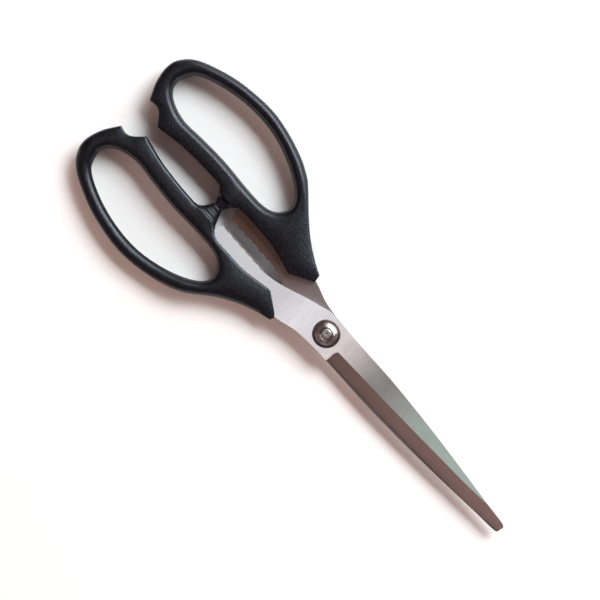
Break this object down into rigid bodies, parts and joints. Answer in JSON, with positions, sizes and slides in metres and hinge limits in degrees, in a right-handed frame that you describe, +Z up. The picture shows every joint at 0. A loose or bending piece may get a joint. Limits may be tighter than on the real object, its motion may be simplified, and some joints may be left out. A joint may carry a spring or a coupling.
{
  "type": "shears",
  "caption": "Riveted household shears with long straight blades, toothed steel tangs and moulded plastic handles with finger bows and notched ends.",
  "frame": {"origin": "on the rivet's axis, at the flat lower face of the rivet's head, which is also the plane that the shears lie on", "axes": "+X along the closed blades towards their tips, +Y towards the rear half's handle, +Z up along the rivet's axis through the thickness"},
  "size_m": [0.255, 0.0936, 0.011],
  "materials": {
    "blade_steel": "satin",
    "handle_plastic": "fine grained, semi-matt",
    "rivet_steel": "polished",
    "washer_steel": "polished with a turned grain"
  },
  "bodies": {
    "rear_half": {"rear_blade": "blade_steel", "rear_handle": "handle_plastic", "pivot_rivet": "rivet_steel", "domed_washer": "washer_steel", "friction_washer": "washer_steel", "back_washer": "washer_steel"},
    "front_half": {"front_blade": "blade_steel", "front_handle": "handle_plastic"}
  },
  "joints": [
    {"name": "pivot", "type": "hinge", "parent": "rear_half", "child": "front_half", "pos_m": [0, 0, 0.0055], "axis": [0, 0, 1], "range_deg": [0, 120]}
  ]
}
